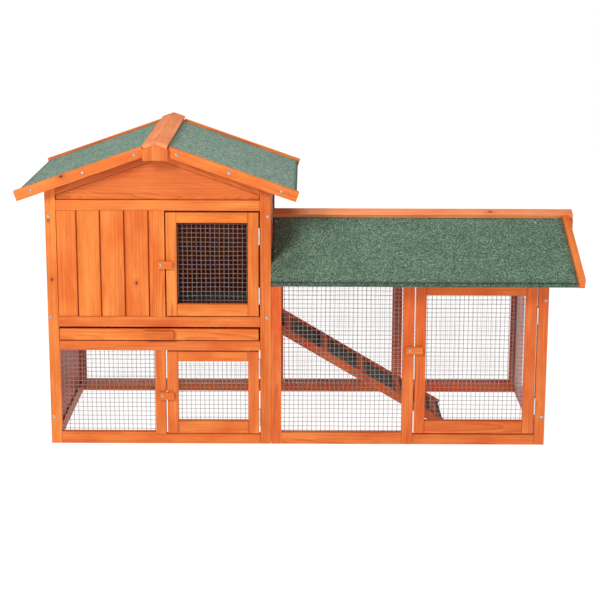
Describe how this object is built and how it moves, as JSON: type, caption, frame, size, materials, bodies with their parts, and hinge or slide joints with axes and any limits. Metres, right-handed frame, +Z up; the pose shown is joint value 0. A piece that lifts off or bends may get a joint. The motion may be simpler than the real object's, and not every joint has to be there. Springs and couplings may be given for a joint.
{
  "type": "rabbit hutch",
  "caption": "Two-storey timber rabbit hutch with a mesh run, felted gable roofs, mesh doors on turn buttons, a pull-out tray and a ramp.",
  "frame": {"origin": "centre of the bounding box at ground level", "axes": "+X along the length, house at -X and run at +X; the doors face -Y; +Z up"},
  "size_m": [1.479, 0.7, 0.8195],
  "materials": {
    "stained_wood": "warm orange translucent stain over knotty softwood battens, satin",
    "stained_wood_dark": "the same stain on the shaded wall panels, matt",
    "stained_plywood": "stained thin plywood, matt",
    "felted_board": "thin board faced with green mineral roofing felt, very rough",
    "galvanised_wire": "galvanised welded wire mesh, dull",
    "zinc_hardware": "bright zinc plated",
    "tray_sheet": "galvanised sheet"
  },
  "bodies": {
    "hutch": {"house_front_frame": "stained_wood", "house_front_boards": "stained_wood", "house_gable_panel": "stained_plywood", "house_front_mesh": "galvanised_wire", "house_left_frame": "stained_wood_dark", "house_left_boards": "stained_wood_dark", "house_right_frame": "stained_wood_dark", "house_right_boards": "stained_wood_dark", "house_back_frame": "stained_wood_dark", "house_back_boards": "stained_wood_dark", "house_back_mesh": "galvanised_wire", "roof_panel_left": "felted_board", "roof_panel_right": "felted_board", "bargeboard_front_left": "stained_wood", "bargeboard_front_right": "stained_wood", "bargeboard_back_left": "stained_wood", "bargeboard_back_right": "stained_wood", "ridge_cap_left": "stained_wood", "ridge_cap_right": "stained_wood", "ridge_block_front": "stained_wood", "ridge_block_back": "stained_wood", "run_front_frame": "stained_wood", "run_front_mesh": "galvanised_wire", "run_side_frame": "stained_wood_dark", "run_side_mesh": "galvanised_wire", "run_back_frame": "stained_wood_dark", "run_back_mesh": "galvanised_wire", "run_roof_panel_front": "felted_board", "run_roof_panel_back": "felted_board", "run_ridge_cap_front": "stained_wood", "run_ridge_cap_back": "stained_wood", "run_bargeboard_front": "stained_wood", "run_bargeboard_back": "stained_wood", "run_ridge_block": "stained_wood", "ramp_frame": "stained_wood", "ramp_deck": "felted_board", "upper_hinge_bottom_frame_leaf": "zinc_hardware", "upper_hinge_top_frame_leaf": "zinc_hardware", "lower_hinge_bottom_frame_leaf": "zinc_hardware", "lower_hinge_top_frame_leaf": "zinc_hardware", "run_hinge_bottom_frame_leaf": "zinc_hardware", "run_hinge_top_frame_leaf": "zinc_hardware"},
    "upper_door": {"upper_door_frame": "stained_wood", "upper_door_mesh": "galvanised_wire", "upper_hinge_bottom_door_leaf": "zinc_hardware", "upper_hinge_top_door_leaf": "zinc_hardware"},
    "upper_button": {"upper_turn_button": "stained_wood"},
    "lower_door": {"lower_door_frame": "stained_wood", "lower_door_mesh": "galvanised_wire", "lower_hinge_bottom_door_leaf": "zinc_hardware", "lower_hinge_top_door_leaf": "zinc_hardware"},
    "lower_button": {"lower_turn_button": "stained_wood"},
    "run_door": {"run_door_frame": "stained_wood", "run_door_mesh": "galvanised_wire", "run_hinge_bottom_door_leaf": "zinc_hardware", "run_hinge_top_door_leaf": "zinc_hardware"},
    "run_button": {"run_turn_button": "stained_wood"},
    "tray": {"tray_front": "stained_wood", "tray_pan": "tray_sheet", "tray_handle": "stained_wood"}
  },
  "joints": [
    {"name": "upper_door_hinge", "type": "hinge", "parent": "hutch", "child": "upper_door", "pos_m": [-0.11077, -0.2635, 0.48825], "axis": [0, 0, 1], "range_deg": [0, 100]},
    {"name": "lower_door_hinge", "type": "hinge", "parent": "hutch", "child": "lower_door", "pos_m": [-0.11077, -0.2635, 0.1409], "axis": [0, 0, 1], "range_deg": [0, 170]},
    {"name": "run_door_hinge", "type": "hinge", "parent": "hutch", "child": "run_door", "pos_m": [0.61952, -0.2635, 0.2335], "axis": [0, 0, 1], "range_deg": [0, 170]},
    {"name": "upper_button_turn", "type": "hinge", "parent": "hutch", "child": "upper_button", "pos_m": [-0.36697, -0.2663, 0.4886], "axis": [0, 1, 0], "continuous": true},
    {"name": "lower_button_turn", "type": "hinge", "parent": "hutch", "child": "lower_button", "pos_m": [-0.36797, -0.2663, 0.1343], "axis": [0, 1, 0], "continuous": true},
    {"name": "run_button_turn", "type": "hinge", "parent": "hutch", "child": "run_button", "pos_m": [0.28602, -0.2663, 0.2605], "axis": [0, 1, 0], "continuous": true},
    {"name": "tray_slide", "type": "slide", "parent": "hutch", "child": "tray", "axis": [0, -1, 0], "range_m": [0, 0.42]}
  ]
}
